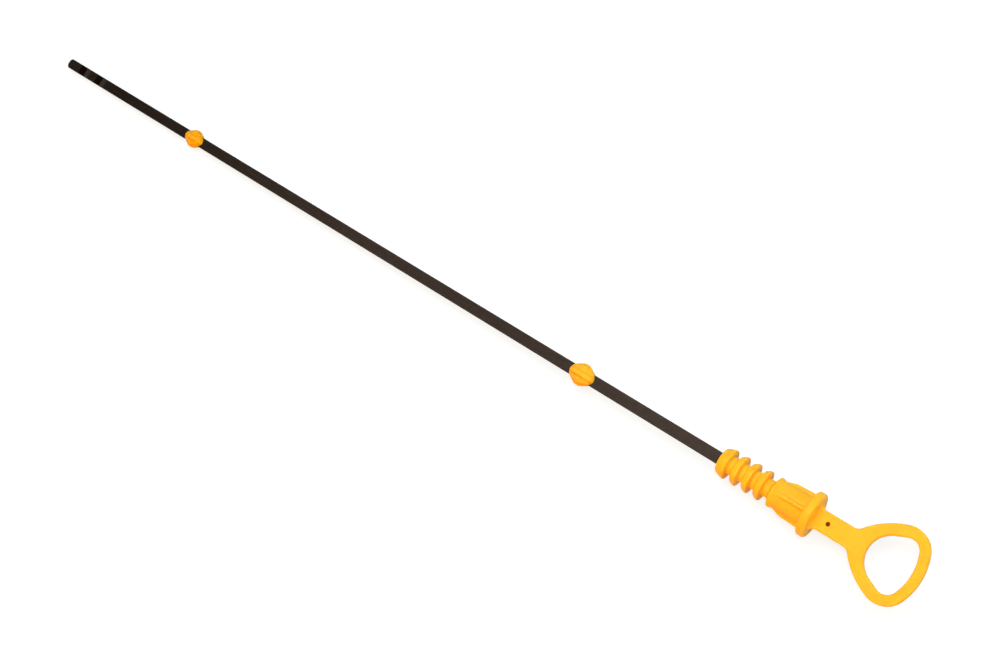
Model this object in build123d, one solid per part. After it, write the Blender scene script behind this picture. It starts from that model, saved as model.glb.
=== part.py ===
"""Engine oil dipstick: a blackened spring steel strip with a moulded pull handle and two guide beads.

Millimetres. The strip runs along X, with the tip at -X and the pull ring at +X. The ring and the
strip lie flat in the XY plane. The origin is on the strip's axis at the seat face of the flange,
the face that comes to rest on the mouth of the dipstick tube.
"""
from build123d import *
import math
import os

# Steel strip
blade_width = 5.0
blade_thickness = 1.0
blade_reach = 446.3  # seat face to the tip
tip_corner_radius = 2.0
blade_end_cover = 3.0  # length held in the stem past the locating pin
lock_hole_diameter = 2.2  # punched, so that the moulded plastic keys through the strip

# Moulded fins of the beads and the barrel
fin_count = 4
fin_draft = 20.0  # degrees on each side

# Measuring field at the tip: two crimps across the strip, and hatching between them on both faces
lower_mark = 13.2  # from the tip
upper_mark = 26.2  # from the tip
mark_width = 7.4
mark_drop = 0.7  # depth of each crimp
mark_round = 1.5
hatch_pitch = 1.0
hatch_width = 0.45
hatch_depth = 0.15
hatch_margin = 0.5  # plain rim left along the strip's edges and beside each mark

# Guide beads
tip_bead_reach = 345.8  # seat face to the bead's middle
tip_bead_radius = 4.45
middle_bead_reach = 105.4
middle_bead_radius = 4.8
bead_half_length = 5.95
bead_shoulder = 4.85  # from the middle, where the flank turns down to the strip
bead_flank_angle = 29.0  # degrees to the axis
bead_crown_round = 3.5
bead_shoulder_round = 2.0
bead_end_wall = 0.3  # plastic left over the strip at the bead's ends
bead_recess = 0.9  # depth of the hollows between the fins
bead_fin_width = 1.35  # at the crest

# Sealing plug, distances measured from the seat face toward the tip
seal_radius = 6.15  # ribs and collar, which share the tube's bore
seal_round = 0.2
rib_count = 4
rib_pitch = 5.2
rib_land = 0.7
rib_shoulder = 2.3  # where the flank turns steeply down to the core
rib_shoulder_radius = 5.35
rib_shoulder_round = 1.2
rib_base = 3.2
rib_back_rake = 0.4  # lean of the handle side face
core_radius = 3.7
last_rib_reach = 18.3  # handle side edge of the rib nearest the collar
nose_length = 4.0  # front face to the handle side edge of the first rib
nose_radius = 4.95
nose_round = 1.1
collar_reach = 14.3
collar_crest = 0.6
collar_width = 1.9
collar_front_rake = 1.3
barrel_radius = 5.75

# Barrel fins
fin_width = 0.6  # at the crest
fin_start = 11.9
fin_lead = 0.5  # length of the ramp's start that is sunk in the barrel
fin_ramp_end = 8.4
fin_ramp_radius = 6.95
fin_root_radius = 7.4
fin_round = 5.0

# Flange, stem and pull ring
flange_radius = 9.13
flange_thickness = 3.3
flange_round = 0.95
stem_width = 8.15
stem_thickness = 4.0
stem_length = 15.5  # flange to the point where the ring's sides start
stem_root_round = 2.4
stem_root_margin = 0.6  # flat left beside the rounding, flush with the back of the flange
neck_round = 3.0
edge_round = 0.7
pin_hole_diameter = 1.8
pin_hole_offset = 5.5  # from the flange

finger_hole_web = 6.1  # end of the stem to the finger hole
finger_hole_length = 17.45
finger_hole_width = 22.3
finger_hole_apex_radius = 9.95
finger_hole_corner_radius = 4.65
finger_hole_far_radius = 22.0
ring_side_band = 4.35
ring_end_band = 3.85
ring_corner_radius = 8.75
ring_side_radius = 30.0
ring_far_radius = 26.2

# Points nearer than this count as the same
TOUCH = 1e-6

# Largest share of a wall that one rounding may take
WALL_SHARE = 0.4

# Places worked out from the sizes above
tip_x = -blade_reach
pin_hole_x = flange_thickness + pin_hole_offset
blade_end_x = pin_hole_x + blade_end_cover
neck_x = flange_thickness + stem_length
finger_hole_x = neck_x + finger_hole_web
finger_hole_end_x = finger_hole_x + finger_hole_length
ring_end_x = finger_hole_end_x + ring_end_band
stem_half = stem_width / 2
handle_lock_x = -(collar_reach - collar_width) / 2


def mirrored(half):
    """Closes a half outline, edges on the +Y side, with its mirror image and makes a face of both."""
    return make_face(half + mirror(half, about=Plane.XZ))


def unit(from_point, to_point):
    """Direction from one point to another."""
    return (to_point - from_point).normalized()


def corner_centre(end_x, half_width, corner_radius, far_radius):
    """Centre of a corner arc that touches the half width and runs smoothly into the far arc on the axis."""
    far_centre = Vector(end_x - far_radius, 0)
    drop = half_width - corner_radius
    along = math.sqrt((far_radius - corner_radius) ** 2 - drop**2)
    return far_centre, far_centre + Vector(along, drop)


def arc_between(centre, start, end, radius):
    """Short arc about a centre, from one of its points to another."""
    middle = centre + (unit(centre, start) + unit(centre, end)).normalized() * radius
    return ThreePointArc(start, middle, end)


def corner_and_far_arcs(start, corner, corner_radius, far_centre, far_radius, end_x):
    """The corner arc from a start point, then the shallow far arc that ends on the axis."""
    blend = far_centre + unit(far_centre, corner) * far_radius
    end = Vector(end_x, 0)
    return arc_between(corner, start, blend, corner_radius) + arc_between(far_centre, blend, end, far_radius)


def crimped_side():
    """Side view of the strip, with its thickness carried through the dip of each crimp."""
    marks = (tip_x + lower_mark, tip_x + upper_mark)
    dips = []
    for x in marks:
        dips += [(x - mark_width / 2, 0), (x, -mark_drop), (x + mark_width / 2, 0)]
    middle = [(tip_x, 0)] + dips + [(blade_end_x, 0)]
    over = [(x, z + blade_thickness / 2) for x, z in middle]
    under = [(x, z - blade_thickness / 2) for x, z in reversed(middle)]
    side = make_face(Polyline(*over, *under, close=True))
    bends = [v for v in side.vertices() if min(abs(v.X - x) for x in marks) < TOUCH]
    return fillet(bends, mark_round)


def hatching():
    """Cutters for one face: crossed grooves that end at the rim of the field between the crimps."""
    field_length = upper_mark - lower_mark - mark_width - 2 * hatch_margin
    field_width = blade_width - 2 * hatch_margin
    middle = Pos(tip_x + (lower_mark + upper_mark) / 2, 0)
    field = Box(field_length, field_width, 2 * hatch_depth)
    groove = v_groove(hatch_width, hatch_depth, field_width * math.sqrt(2))
    outermost = math.floor((field_length + field_width - hatch_pitch) / 2 / hatch_pitch)
    grooves = []
    for turn in (45, -45):
        for line in range(-outermost, outermost + 1):
            slanted = Pos(line * hatch_pitch, 0) * Rot(0, 0, turn) * groove
            grooves += [middle * (slanted & field)]
    return grooves


def v_groove(width, depth, length):
    """V shaped bar along Y whose open side lies in the plane of the strip's face."""
    triangle = make_face(Polyline((-width / 2, 0), (0, -depth), (width / 2, 0), close=True))
    return extrude(Plane.XZ * triangle, amount=length / 2, both=True)


def steel_blade():
    """The strip, with rounded tip corners, crimps, hatching and the holes that the mouldings key into."""
    length = blade_end_x - tip_x
    strip = Pos((tip_x + blade_end_x) / 2, 0) * Rectangle(length, blade_width)
    strip = fillet(strip.vertices().group_by(Axis.X)[0], min(tip_corner_radius, WALL_SHARE * blade_width))
    for x in (-tip_bead_reach, -middle_bead_reach, handle_lock_x):
        strip -= Pos(x, 0) * Circle(lock_hole_diameter / 2)
    blade = extrude(strip, amount=blade_thickness / 2 + mark_drop, both=True)
    blade &= extrude(Plane.XZ * crimped_side(), amount=blade_width, both=True)
    top_cuts = [Pos(0, 0, blade_thickness / 2) * groove for groove in hatching()]
    under_cuts = [mirror(groove, about=Plane.XY) for groove in top_cuts]
    return blade - top_cuts - under_cuts


def fin_bars(crest_width, crest_radius, length):
    """Crossed bars along X, each wider at its foot by the draft of its sides."""
    foot_width = crest_width + 2 * crest_radius * math.tan(math.radians(fin_draft))
    section = Trapezoid(foot_width, crest_radius, 90 - fin_draft, align=(Align.CENTER, Align.MIN))
    bar = extrude(Plane.YZ * section, amount=length / 2, both=True)
    return [Rot(fin * 360 / fin_count, 0, 0) * bar for fin in range(fin_count)]


def bead_envelope(radius, recess):
    """Olive shaped turned form of a bead, lowered by a recess at the middle and unchanged at its ends."""
    slope = math.tan(math.radians(bead_flank_angle))
    sharpness = 1 / math.cos(math.radians(bead_flank_angle)) - 1
    peak = radius + bead_crown_round * sharpness
    shoulder_radius = peak - bead_shoulder * slope
    end_radius = blade_thickness / 2 + bead_end_wall
    half = [
        (-bead_half_length, 0),
        (-bead_half_length, end_radius),
        (-bead_shoulder, shoulder_radius),
        (0, peak - recess),
    ]
    outline = make_face(Polyline(*half, *[(-x, r) for x, r in reversed(half[:-1])], close=True))
    crown = outline.vertices().sort_by(Axis.Y)[-1]
    outline = fillet(crown, bead_crown_round)
    shoulders = [v for v in outline.vertices() if abs(v.Y - shoulder_radius) < TOUCH]
    outline = fillet(shoulders, bead_shoulder_round)
    return revolve(outline, Axis.X)


def guide_bead(blade, reach, radius):
    """A finned bead moulded round the strip, with its pin of plastic through the strip's hole."""
    bead = bead_envelope(radius, bead_recess)
    full = bead_envelope(radius, 0)
    for bar in fin_bars(bead_fin_width, radius, 2 * bead_half_length):
        bead += full & bar
    return Pos(-reach, 0) * bead - blade


def plug_outline():
    """Half section of everything turned about the axis, from the nose to the back of the flange."""
    first_rib_x = -(last_rib_reach + (rib_count - 1) * rib_pitch)
    front_x = first_rib_x - nose_length
    points = [(front_x, 0), (front_x, nose_radius), (first_rib_x - rib_land, seal_radius)]
    points += [(first_rib_x, seal_radius), (first_rib_x + rib_back_rake, core_radius)]
    for rib in range(1, rib_count):
        back_x = first_rib_x + rib * rib_pitch
        points += [(back_x - rib_base, core_radius), (back_x - rib_shoulder, rib_shoulder_radius)]
        points += [(back_x - rib_land, seal_radius)]
        points += [(back_x, seal_radius), (back_x + rib_back_rake, core_radius)]
    collar_x = -collar_reach
    points += [(collar_x - collar_front_rake, core_radius), (collar_x, seal_radius)]
    points += [(collar_x + collar_crest, seal_radius), (collar_x + collar_width, barrel_radius)]
    points += [(0, barrel_radius), (0, flange_radius)]
    points += [(flange_thickness, flange_radius), (flange_thickness, 0)]
    return make_face(Polyline(*points, close=True))


def rounded_at(outline, radius_there, amount):
    """Rounds every corner of a half section that lies at one radius."""
    corners = [v for v in outline.vertices() if abs(v.Y - radius_there) < TOUCH]
    return fillet(corners, amount)


def plug():
    """Nose, sealing ribs, collar, barrel and flange, turned as one form."""
    outline = plug_outline()
    outline = rounded_at(outline, nose_radius, nose_round)
    outline = rounded_at(outline, rib_shoulder_radius, rib_shoulder_round)
    narrowest_crest = min(rib_land, collar_crest)
    outline = rounded_at(outline, seal_radius, min(seal_round, WALL_SHARE * narrowest_crest))
    outline = rounded_at(outline, flange_radius, min(flange_round, WALL_SHARE * flange_thickness))
    return revolve(outline, Axis.X)


def barrel_fins():
    """The fins of the barrel, each running up into the flange."""
    buried = core_radius
    ramp_slope = (fin_ramp_radius - barrel_radius) / (fin_start - fin_ramp_end)
    points = [
        (-fin_start - fin_lead, buried),
        (-fin_start - fin_lead, barrel_radius - fin_lead * ramp_slope),
        (-fin_ramp_end, fin_ramp_radius),
        (flange_thickness / 2, fin_root_radius),
        (flange_thickness / 2, buried),
    ]
    side = make_face(Polyline(*points, close=True))
    bend = [v for v in side.vertices() if abs(v.X + fin_ramp_end) < TOUCH]
    side = fillet(bend, fin_round)
    turned = revolve(side, Axis.X)
    return [turned & bar for bar in fin_bars(fin_width, fin_root_radius, 2 * (fin_start + fin_lead))]


def finger_hole():
    """Rounded triangle with its blunt apex toward the stem."""
    half_width = finger_hole_width / 2
    far_centre, corner = corner_centre(
        finger_hole_end_x, half_width, finger_hole_corner_radius, finger_hole_far_radius
    )
    apex = Vector(finger_hole_x + finger_hole_apex_radius, 0)
    toward = corner - apex
    lean = math.acos((finger_hole_apex_radius - finger_hole_corner_radius) / toward.length)
    angle = math.atan2(toward.Y, toward.X) + lean
    side = Vector(math.cos(angle), math.sin(angle))
    side_start = apex + side * finger_hole_apex_radius
    side_end = corner + side * finger_hole_corner_radius
    half = arc_between(apex, Vector(finger_hole_x, 0), side_start, finger_hole_apex_radius)
    half += Line(side_start, side_end)
    half += corner_and_far_arcs(
        side_end, corner, finger_hole_corner_radius, far_centre, finger_hole_far_radius, finger_hole_end_x
    )
    return mirrored(half)


def ring_outline():
    """Stem and pull ring in plan, from inside the flange to the far end, without the finger hole."""
    half_width = finger_hole_width / 2 + ring_side_band
    far_centre, corner = corner_centre(ring_end_x, half_width, ring_corner_radius, ring_far_radius)
    neck = Vector(neck_x, stem_half)
    side_centre = inner_tangent_centre(neck, corner, ring_corner_radius, ring_side_radius)
    side_end = corner + unit(side_centre, corner) * ring_corner_radius
    root_half = stem_half + stem_root_round + stem_root_margin
    root_x = flange_thickness / 2
    half = Polyline(
        (root_x, 0), (root_x, root_half), (flange_thickness, root_half), (flange_thickness, stem_half), neck
    )
    half += arc_between(side_centre, neck, side_end, ring_side_radius)
    half += corner_and_far_arcs(side_end, corner, ring_corner_radius, far_centre, ring_far_radius, ring_end_x)
    outline = mirrored(half)
    outline = fillet(plan_corners(outline, flange_thickness), stem_root_round)
    return fillet(plan_corners(outline, neck_x), neck_round)


def plan_corners(outline, x):
    """The two corners of the plan where the stem's sides meet the flange or the ring."""
    return [v for v in outline.vertices() if abs(v.X - x) < TOUCH and abs(abs(v.Y) - stem_half) < TOUCH]


def inner_tangent_centre(through, corner, corner_radius, radius):
    """Centre of a wide arc that passes through a point and runs smoothly into a corner arc."""
    toward = corner - through
    gap = toward.length
    along = (radius**2 - (radius - corner_radius) ** 2 + gap**2) / (2 * gap)
    aside = math.sqrt(radius**2 - along**2)
    direction = toward.normalized()
    normal = Vector(direction.Y, -direction.X)
    return through + direction * along + normal * aside


def stem_and_ring():
    """Flat stem and pull ring with softened edges on both faces."""
    plate = extrude(ring_outline() - finger_hole(), amount=stem_thickness / 2, both=True)
    faces = plate.faces().group_by(Axis.Z)
    rims = faces[0].edges() + faces[-1].edges()
    bare_rims = [rim for rim in rims if rim.center().X > flange_thickness - TOUCH]
    return fillet(bare_rims, min(edge_round, WALL_SHARE * stem_root_round, WALL_SHARE * stem_thickness))


def handle(blade):
    """The whole handle moulding, closed round the end of the strip."""
    body = plug() + stem_and_ring()
    for fin in barrel_fins():
        body += fin
    body -= Pos(pin_hole_x, 0) * Cylinder(pin_hole_diameter / 2, 2 * stem_thickness)
    return body - blade


def main():
    """Builds every piece in place and writes each to its own file."""
    blade = steel_blade()
    pieces = {
        "steel_blade": blade,
        "tip_guide_bead": guide_bead(blade, tip_bead_reach, tip_bead_radius),
        "middle_guide_bead": guide_bead(blade, middle_bead_reach, middle_bead_radius),
        "handle": handle(blade),
    }
    os.makedirs("parts", exist_ok=True)
    for name, piece in pieces.items():
        export_step(piece, f"parts/{name}.step")


main()
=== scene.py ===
"""Looks of the engine oil dipstick: yellow moulded plastic on a blackened steel strip, on a white floor.

Lengths are in metres, and so are the depths of relief and glow. Places and widths on the two finishes are
in millimetres.
"""
import math

import bmesh
import bpy
from mathutils import Matrix, Vector


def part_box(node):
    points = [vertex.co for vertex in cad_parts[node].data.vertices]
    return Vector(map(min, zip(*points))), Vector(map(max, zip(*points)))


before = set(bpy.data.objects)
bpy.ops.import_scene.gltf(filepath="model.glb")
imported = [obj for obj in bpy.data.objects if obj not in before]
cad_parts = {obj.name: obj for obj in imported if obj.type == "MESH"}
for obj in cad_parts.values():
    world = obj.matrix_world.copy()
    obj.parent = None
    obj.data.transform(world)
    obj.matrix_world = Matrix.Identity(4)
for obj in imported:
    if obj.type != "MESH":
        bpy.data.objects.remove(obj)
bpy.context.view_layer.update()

# Camera, from the perspective of the photograph
image_width = 1000
focal_pixels = 1299.4
sensor_width = 36.0
camera_tilt = math.radians(27.0)
camera_roll = math.radians(31.508)
camera_aim = Vector((-0.14713, -0.00317, 0.0))
camera_distance = 0.54565
camera_near = 0.01

# Studio: a round floor that curves up into a backdrop
flange_middle = 0.00165
floor_radius = 2.1
cove_radius = 1.2
backdrop_height = 1.7
backdrop_steps = 96
cove_steps = 24
floor_gap = 0.00002
floor_colour = (0.24, 0.31, 0.40, 1.0)
floor_roughness = 0.9
floor_lift = 0.77

# Lamps: place, size, power in watts, colour and whether it shows in reflections, all aimed at the plug
lamp_aim = Vector((-0.06, 0.0, 0.0))
white = (1.0, 1.0, 1.0)
cream = (1.0, 0.75, 0.45)
amber = (1.0, 0.53, 0.14)
lamps = {
    "key_softbox": (Vector((-0.02, 0.27, 0.63)), 0.6, 4.5, white, True),
    "ring_softbox": (Vector((1.2, 0.2, 0.42)), 0.8, 6.7, cream, True),
    "tip_softbox": (Vector((-1.5, 0.1, 0.5)), 1.0, 5.0, cream, True),
    "low_softbox": (Vector((-0.1, -1.2, 0.6)), 1.0, 13.5, amber, False),
}
world_colour = (1.0, 0.57, 0.28, 1.0)
world_strength = 0.43

# Noise: features a millimetre and detail, and for a pattern also the part of its range that is used
millimetres_per_metre = 1000.0
plastic_grain = (6.0, 3.0)
plastic_waves = (0.55, 1.0)
cloud_pattern = (0.09, 3.0, 0.3, 0.7)
speck_pattern = (4.0, 2.0, 0.35, 0.65)
gloss_pattern = (0.5, 4.0, 0.3, 0.7)
fin_shade_pattern = (0.8, 3.0, 0.3, 0.6)
steel_grain = (5.0, 4.0)
mottle_pattern = (0.4, 5.0, 0.3, 0.7)
hairline_pattern = (9.0, 1.0, 0.66, 0.74)
wear_pattern = (0.9, 4.0, 0.45, 0.65)

# Colours and gloss of the moulded plastic
plastic_deep = (0.96, 0.51, 0.022, 1.0)
plastic_light = (0.98, 0.555, 0.029, 1.0)
plastic_oiled = (0.97, 0.46, 0.002, 1.0)
plastic_painted_shade = (0.80, 0.30, 0.002, 1.0)
plastic_glow = (1.0, 0.3, 0.05)
plastic_glow_depth = 0.0015
plastic_glow_share = 0.7
plastic_shine = 0.15
plastic_smoothest = 0.44
plastic_roughest = 0.56
speck_strength = 0.18

# Relief of the moulded plastic
plastic_grain_depth = 0.000012
plastic_wave_depth = 0.00003
parting_line_depth = 0.00004
parting_line_half = 0.09
ejector_depth = 0.00006
ejector_radius = 1.2
ejector_rim = 0.12
ejector_places = ((15.4, 0.0, -2.0), (29.9, 9.6, -2.0), (29.9, -9.6, -2.0), (44.2, 0.0, -2.0))

# Oil on the plastic: a stain that deepens toward the tip. Painted shade along the feet of the beads' fins,
# heavier on the side away from the key lamp
stain_starts = -110.0
stain_full = -345.0
beads_start = -60.0
fin_foot = 1.2
fin_shade_half = 0.8
fin_shade_thinnest = 0.6
fin_shade_strong = 0.95
fin_shade_weak = 0.5

# Colours and gloss of the blackened steel
steel_dark = (0.002, 0.0011, 0.0008, 1.0)
steel_brown = (0.046, 0.042, 0.041, 1.0)
steel_bare = (0.20, 0.18, 0.165, 1.0)
steel_shine = 0.055
steel_shine_tint = (1.0, 0.72, 0.68, 1.0)
steel_smoothest = 0.36
steel_roughest = 0.52

# Texture and wear of the blackened steel
steel_grain_stretch = (40.0, 1.0, 1.0)
steel_grain_low = 0.3
steel_grain_high = 0.7
steel_grain_depth = 0.00001
brown_least = 0.35
brown_most = 0.55
hairline_stretch = (90.0, 1.0, 1.0)
hairline_share = 0.12
strip_half_width = 2.5
edge_wear = 0.3
edge_wear_share = 0.3
field_middle = -426.6
field_half = 2.8
field_edge = 0.4
field_scrape = 0.06

# Painted orange bounce light on the strip in the pin holes. Films on the steel: a wiped film of oil, and
# wet oil at the lower end
pin_hole_glow_colour = (0.24, 0.045, 0.002, 1.0)
pin_place = (8.8, 0.0, 0.0)
pin_hole_glow_reach = 1.3
film_starts = -40.0
film_full = -150.0
film_share = 0.28
oil_starts = -230.0
oil_full = -410.0
oil_smoothing = 0.15


def place(tree, kind, inputs, **settings):
    """Adds a node, sets its settings, and links or sets its inputs."""
    node = tree.nodes.new("ShaderNode" + kind)
    for name, value in settings.items():
        setattr(node, name, value)
    for key, value in inputs.items():
        if isinstance(value, bpy.types.NodeSocket):
            tree.links.new(value, node.inputs[key])
        else:
            node.inputs[key].default_value = value
    return node


def new_material(name):
    """A material with its node tree and its shader."""
    material = bpy.data.materials.new(name)
    material.use_nodes = True
    tree = material.node_tree
    return material, tree, tree.nodes["Principled BSDF"]


def millimetres(tree, stretch=(1.0, 1.0, 1.0)):
    """The place on the object in millimetres, with each axis drawn out by a factor."""
    place_on_object = place(tree, "TexCoord", {}).outputs["Object"]
    scale = tuple(millimetres_per_metre / factor for factor in stretch)
    return place(tree, "Mapping", {"Vector": place_on_object, "Scale": scale}).outputs["Vector"]


def split(tree, where):
    """The X, Y and Z of a place."""
    return place(tree, "SeparateXYZ", {"Vector": where}).outputs


def distance(tree, where, centre):
    """How far a place is from a fixed point."""
    return place(tree, "VectorMath", {0: where, 1: centre}, operation="DISTANCE").outputs["Value"]


def noise(tree, where, features, detail):
    """Noise with about that many features a millimetre."""
    return place(tree, "TexNoise", {"Vector": where, "Scale": features, "Detail": detail}).outputs["Fac"]


def spread(tree, value, low, high, to_low=0.0, to_high=1.0):
    """Maps one range of a value onto another, and stops at its ends."""
    ranges = {"Value": value, "From Min": low, "From Max": high, "To Min": to_low, "To Max": to_high}
    return place(tree, "MapRange", ranges).outputs["Result"]


def pattern(tree, where, kind, to_low=0.0, to_high=1.0):
    """A noise pattern, spread between two values."""
    features, detail, low, high = kind
    return spread(tree, noise(tree, where, features, detail), low, high, to_low, to_high)


def combine(tree, operation, first, second=0.0):
    """One step of arithmetic."""
    return place(tree, "Math", {0: first, 1: second}, operation=operation).outputs["Value"]


def magnitude(tree, value):
    """A value without its sign."""
    return combine(tree, "ABSOLUTE", value)


def blend(tree, share, first, second):
    """A colour between two others; the node's colour sockets are known only by number."""
    return place(tree, "Mix", {0: share, 6: first, 7: second}, data_type="RGBA").outputs[2]


def raise_surface(tree, height, depth, below=None):
    """A bump of that depth, on top of another one if given."""
    node = place(tree, "Bump", {"Height": height, "Distance": depth})
    if below is not None:
        tree.links.new(below, node.inputs["Normal"])
    return node.outputs["Normal"]


def parting_line(tree, axes):
    """Height of the fine ridge where the two halves of the mould meet, at mid thickness."""
    return spread(tree, magnitude(tree, axes["Z"]), parting_line_half, 0.0)


def ejector_marks(tree, where):
    """Height of the round witness marks that the mould's ejector pins leave on the underside."""
    nearest = None
    for centre in ejector_places:
        away = distance(tree, where, centre)
        nearest = away if nearest is None else combine(tree, "MINIMUM", nearest, away)
    return spread(tree, nearest, ejector_radius - ejector_rim, ejector_radius)


def fin_painted_shade(tree, where, axes):
    """Share of painted shade along the feet of the beads' fins: patchy, and heavier on the -Y side, away
    from the key lamp.
    """
    aside = combine(tree, "MINIMUM", magnitude(tree, axes["Y"]), magnitude(tree, axes["Z"]))
    from_foot = magnitude(tree, combine(tree, "SUBTRACT", aside, fin_foot))
    line = spread(tree, from_foot, fin_shade_half, 0.0)
    patchy = pattern(tree, where, fin_shade_pattern, fin_shade_thinnest, 1.0)
    # The -Y side, away from the key lamp, gets the heavier painted shade.
    share = spread(tree, axes["Y"], -fin_foot, fin_foot, fin_shade_strong, fin_shade_weak)
    shade = combine(tree, "MULTIPLY", combine(tree, "MULTIPLY", line, patchy), share)
    on_beads = combine(tree, "LESS_THAN", axes["X"], beads_start)
    return combine(tree, "MULTIPLY", shade, on_beads)


def plastic_colour(tree, where, axes):
    """Yellow with flow clouds and pigment specks, stained by oil toward the tip, with painted shade at the
    feet of the beads' fins.
    """
    clouds = pattern(tree, where, cloud_pattern)
    specks = pattern(tree, where, speck_pattern, -speck_strength, speck_strength)
    clean = blend(tree, combine(tree, "ADD", clouds, specks), plastic_deep, plastic_light)
    stained = blend(tree, spread(tree, axes["X"], stain_starts, stain_full), clean, plastic_oiled)
    # Painted shade: a darker orange along the feet of the beads' fins.
    return blend(tree, fin_painted_shade(tree, where, axes), stained, plastic_painted_shade)


def plastic_relief(tree, where, axes):
    """Eroded grain and slight waves, with the parting line and the ejector marks."""
    grain = raise_surface(tree, noise(tree, where, *plastic_grain), plastic_grain_depth)
    waves = raise_surface(tree, noise(tree, where, *plastic_waves), plastic_wave_depth, grain)
    seam = raise_surface(tree, parting_line(tree, axes), parting_line_depth, waves)
    return raise_surface(tree, ejector_marks(tree, where), ejector_depth, seam)


def moulded_plastic():
    """Yellow moulded plastic that scatters some light inside."""
    material, tree, shader = new_material("moulded_plastic_finish")
    where = millimetres(tree)
    axes = split(tree, where)
    roughness = pattern(tree, where, gloss_pattern, plastic_smoothest, plastic_roughest)
    tree.links.new(plastic_colour(tree, where, axes), shader.inputs["Base Color"])
    tree.links.new(roughness, shader.inputs["Roughness"])
    tree.links.new(plastic_relief(tree, where, axes), shader.inputs["Normal"])
    shader.inputs["Specular IOR Level"].default_value = plastic_shine
    shader.inputs["Subsurface Weight"].default_value = plastic_glow_share
    shader.inputs["Subsurface Radius"].default_value = plastic_glow
    shader.inputs["Subsurface Scale"].default_value = plastic_glow_depth
    return material


def oil_share(tree, axes):
    """How oily the strip is: a thin wiped film all along it, and wet with oil at its lower end."""
    film = spread(tree, axes["X"], film_starts, film_full, 0.0, film_share)
    wet = spread(tree, axes["X"], oil_starts, oil_full, 0.0, 1.0 - film_share)
    return combine(tree, "ADD", film, wet)


def dry_share(tree, where, grain, oil):
    """How dry and brown the strip is, with a rolled and mottled texture."""
    grained = spread(tree, grain, steel_grain_low, steel_grain_high, brown_least, brown_most)
    mottled = pattern(tree, where, mottle_pattern, brown_least, brown_most)
    texture = combine(tree, "ADD", grained, mottled)
    return combine(tree, "MULTIPLY", texture, combine(tree, "SUBTRACT", 1.0, oil))


def scraped_field(tree, axes):
    """Share of bare metal in the measuring field, where the stamp has scraped the black off."""
    from_middle = magnitude(tree, combine(tree, "SUBTRACT", axes["X"], field_middle))
    return spread(tree, from_middle, field_half - field_edge, field_half, field_scrape, 0.0)


def bare_share(tree, where, axes):
    """Share of bare metal: hairlines along the strip, patchy wear on its edges and the scraped field."""
    hairline_place = millimetres(tree, hairline_stretch)
    hairlines = pattern(tree, hairline_place, hairline_pattern, 0.0, hairline_share)
    edge = spread(tree, magnitude(tree, axes["Y"]), strip_half_width - edge_wear, strip_half_width)
    patches = pattern(tree, where, wear_pattern, 0.0, edge_wear_share)
    worn = combine(tree, "MAXIMUM", hairlines, combine(tree, "MULTIPLY", edge, patches))
    return combine(tree, "MAXIMUM", worn, scraped_field(tree, axes))


def painted_pin_hole_glow(tree, where):
    """Where the strip shows in the pin holes, painted with the orange bounce light of the holes' yellow
    walls.
    """
    return combine(tree, "LESS_THAN", distance(tree, where, pin_place), pin_hole_glow_reach)


def blackened_steel():
    """Blackened strip steel: rolled grain, hairlines, worn edges, oil that darkens the lower end, and
    painted orange bounce light in the pin holes.
    """
    material, tree, shader = new_material("blackened_steel_finish")
    where = millimetres(tree)
    axes = split(tree, where)
    oil = oil_share(tree, axes)
    grain = noise(tree, millimetres(tree, steel_grain_stretch), *steel_grain)
    black = blend(tree, dry_share(tree, where, grain, oil), steel_dark, steel_brown)
    strip = blend(tree, bare_share(tree, where, axes), black, steel_bare)
    # Painted orange bounce light on the strip inside the pin holes.
    colour = blend(tree, painted_pin_hole_glow(tree, where), strip, pin_hole_glow_colour)
    dry_roughness = spread(tree, grain, steel_grain_low, steel_grain_high, steel_smoothest, steel_roughest)
    smoothing = combine(tree, "MULTIPLY", oil, oil_smoothing)
    roughness = combine(tree, "SUBTRACT", dry_roughness, smoothing)
    tree.links.new(colour, shader.inputs["Base Color"])
    tree.links.new(roughness, shader.inputs["Roughness"])
    tree.links.new(raise_surface(tree, grain, steel_grain_depth), shader.inputs["Normal"])
    shader.inputs["Specular IOR Level"].default_value = steel_shine
    shader.inputs["Specular Tint"].default_value = steel_shine_tint
    return material


def floor_material():
    """Matt floor paint, seen by the camera and in reflections as a lit white with the object's shadow."""
    material, tree, shader = new_material("studio_white")
    path = place(tree, "LightPath", {}).outputs
    seen = combine(tree, "MAXIMUM", path["Is Camera Ray"], path["Is Glossy Ray"])
    seen = combine(tree, "MAXIMUM", seen, path["Is Transmission Ray"])
    tree.links.new(combine(tree, "MULTIPLY", seen, floor_lift), shader.inputs["Emission Strength"])
    shader.inputs["Emission Color"].default_value = (*white, 1.0)
    shader.inputs["Base Color"].default_value = floor_colour
    shader.inputs["Roughness"].default_value = floor_roughness
    shader.inputs["Specular IOR Level"].default_value = 0.0
    return material


def floor_profile():
    """Distance from the middle and height of the floor's section, from its flat part up the backdrop."""
    flat = floor_radius - cove_radius
    points = [(flat, 0.0)]
    for step in range(1, cove_steps + 1):
        turn = math.pi / 2 * step / cove_steps
        points.append((flat + cove_radius * math.sin(turn), cove_radius * (1 - math.cos(turn))))
    points.append((floor_radius, backdrop_height))
    return points


def floor_mesh():
    """The floor's section turned about the upright axis."""
    mesh = bmesh.new()
    turns = [2 * math.pi * step / backdrop_steps for step in range(backdrop_steps)]
    rings = []
    for radius, height in floor_profile():
        rings.append([mesh.verts.new((radius * math.cos(t), radius * math.sin(t), height)) for t in turns])
    mesh.faces.new(rings[0])
    for lower, upper in zip(rings, rings[1:]):
        for step in range(backdrop_steps):
            after = (step + 1) % backdrop_steps
            mesh.faces.new((lower[step], lower[after], upper[after], upper[step])).smooth = True
    data = bpy.data.meshes.new("studio_floor")
    mesh.to_mesh(data)
    mesh.free()
    return data


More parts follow.
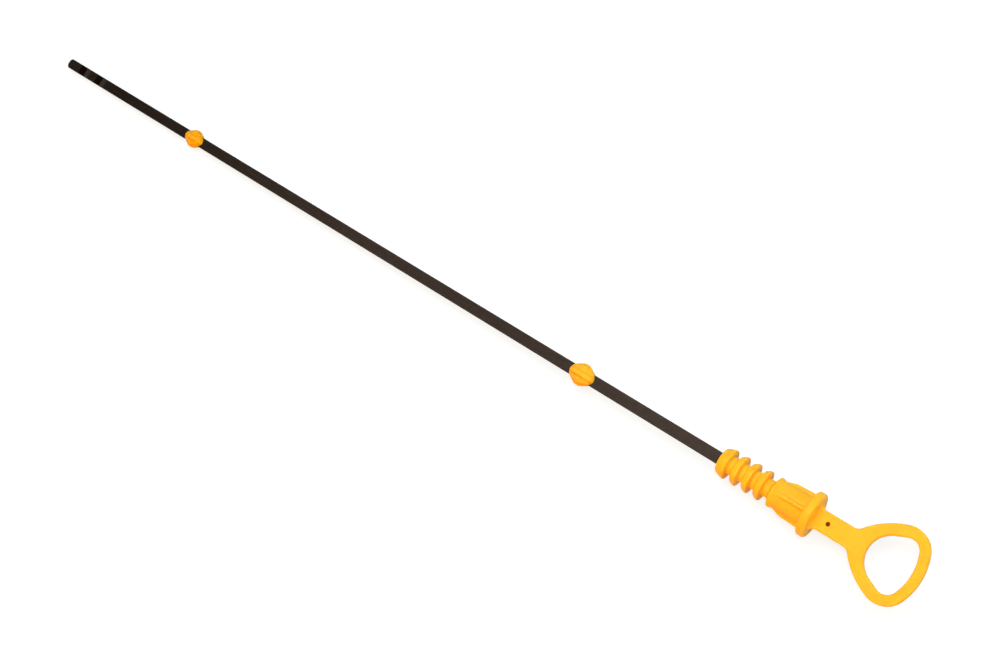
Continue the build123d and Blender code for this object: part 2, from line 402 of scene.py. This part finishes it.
def make_floor():
    """The floor, tilted so that the flange's rim and the bead near the tip both rest on it."""
    data = floor_mesh()
    data.materials.append(floor_material())
    floor = bpy.data.objects.new("studio_floor", data)
    bpy.context.scene.collection.objects.link(floor)
    bead_low, bead_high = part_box("tip_guide_bead")
    bead_middle = (bead_low.x + bead_high.x) / 2
    flange_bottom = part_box("handle")[0].z
    slope = math.atan2(flange_bottom - bead_low.z, flange_middle - bead_middle)
    floor.location = (flange_middle, 0.0, flange_bottom - floor_gap)
    floor.rotation_euler = (0.0, -slope, 0.0)


def make_lamps():
    """Soft boxes above the plug, beyond the ring, beyond the tip and at one side, in a warm room light."""
    for name, (where, size, power, colour, mirrored) in lamps.items():
        data = bpy.data.lights.new(name, "AREA")
        data.shape = "SQUARE"
        data.size = size
        data.energy = power
        data.color = colour
        lamp = bpy.data.objects.new(name, data)
        lamp.location = where
        lamp.rotation_mode = "QUATERNION"
        lamp.rotation_quaternion = (lamp_aim - where).to_track_quat("-Z", "Y")
        lamp.visible_camera = False
        lamp.visible_glossy = mirrored
        bpy.context.scene.collection.objects.link(lamp)
    world = bpy.data.worlds.new("room_light")
    world.use_nodes = True
    background = world.node_tree.nodes["Background"]
    background.inputs["Color"].default_value = world_colour
    background.inputs["Strength"].default_value = world_strength
    bpy.context.scene.world = world


def make_camera():
    """A camera that looks down on the ring's face, tilted along the strip and rolled as in the photo."""
    data = bpy.data.cameras.new("photo_camera")
    data.sensor_fit = "HORIZONTAL"
    data.sensor_width = sensor_width
    data.lens = sensor_width * focal_pixels / image_width
    data.clip_start = camera_near
    along = Vector((math.cos(camera_tilt), 0.0, -math.sin(camera_tilt)))
    across = Vector((0.0, 1.0, 0.0))
    back = along.cross(across)
    right = math.cos(camera_roll) * along + math.sin(camera_roll) * across
    up = math.cos(camera_roll) * across - math.sin(camera_roll) * along
    camera = bpy.data.objects.new("photo_camera", data)
    turn = Matrix((right, up, back)).transposed().to_4x4()
    camera.matrix_world = Matrix.Translation(camera_aim + back * camera_distance) @ turn
    bpy.context.scene.collection.objects.link(camera)
    bpy.context.scene.camera = camera


def dress_nodes():
    """Gives every solid its finish."""
    plastic = moulded_plastic()
    steel = blackened_steel()
    for name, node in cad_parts.items():
        node.material_slots[0].material = steel if name == "steel_blade" else plastic


dress_nodes()
make_floor()
make_lamps()
make_camera()
bpy.context.scene.view_settings.view_transform = "Standard"
